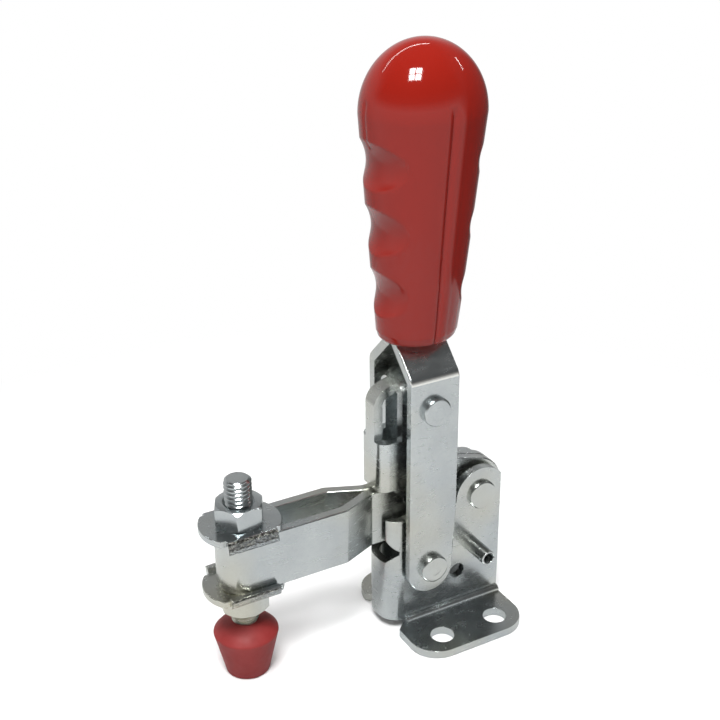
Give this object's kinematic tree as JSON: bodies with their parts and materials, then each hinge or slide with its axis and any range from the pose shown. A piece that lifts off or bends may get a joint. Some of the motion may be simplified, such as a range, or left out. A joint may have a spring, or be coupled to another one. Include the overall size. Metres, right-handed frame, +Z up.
{
  "type": "toggle clamp",
  "caption": "Vertical hold-down toggle clamp: flanged base, linked upright handle and a slotted U-shaped bar that carries an adjustable spindle with a rubber tip.",
  "frame": {"origin": "on the base's underside, in the bar's middle plane and midway between the two bolt holes along X", "axes": "+X from the base to the spindle, +Y to the clamp's left seen from behind the handle, +Z up"},
  "size_m": [0.0978, 0.0461, 0.1763],
  "materials": {
    "zinc_steel": "satin",
    "red_grip": "glossy red moulded grip",
    "red_rubber": "matte red rubber"
  },
  "bodies": {
    "base": {"base": "zinc_steel", "stop_pin": "zinc_steel", "bar_pivot_rivet": "zinc_steel", "bar_pivot_spacers": "zinc_steel", "handle_pivot_rivet": "zinc_steel", "handle_pivot_washers": "zinc_steel"},
    "handle": {"left_handle_arm": "zinc_steel", "right_handle_arm": "zinc_steel", "handle_grip": "red_grip", "handle_link_rivet": "zinc_steel", "handle_link_spacers": "zinc_steel"},
    "link": {"toggle_link": "zinc_steel", "link_bar_pin": "zinc_steel"},
    "bar": {"u_bar": "zinc_steel"},
    "carrier": {"upper_flanged_washer": "zinc_steel", "lower_flanged_washer": "zinc_steel", "upper_nut": "zinc_steel", "lower_nut": "zinc_steel"},
    "spindle": {"spindle": "zinc_steel", "rubber_tip": "red_rubber"}
  },
  "joints": [
    {"name": "handle_swing", "type": "hinge", "parent": "base", "child": "handle", "pos_m": [0.0091, 0, 0.02273], "axis": [0, -1, 0], "range_deg": [0, 52]},
    {"name": "link_swing", "type": "hinge", "parent": "handle", "child": "link", "pos_m": [0.0091, 0, 0.0753], "axis": [0, -1, 0], "range_deg": [0, 51]},
    {"name": "bar_lift", "type": "hinge", "parent": "base", "child": "bar", "pos_m": [-0.011, 0, 0.03965], "axis": [0, -1, 0], "range_deg": [0, 53]},
    {"name": "carrier_slide", "type": "slide", "parent": "bar", "child": "carrier", "axis": [-1, 0, 0], "range_m": [0, 0.018]},
    {"name": "spindle_height", "type": "slide", "parent": "carrier", "child": "spindle", "axis": [0, 0, 1], "range_m": [0, 0.004]}
  ],
  "couplings": [
    {"joint": "link_swing", "follows": "handle_swing", "ratio": 0.9714},
    {"joint": "bar_lift", "follows": "handle_swing", "ratio": 1.0059}
  ]
}
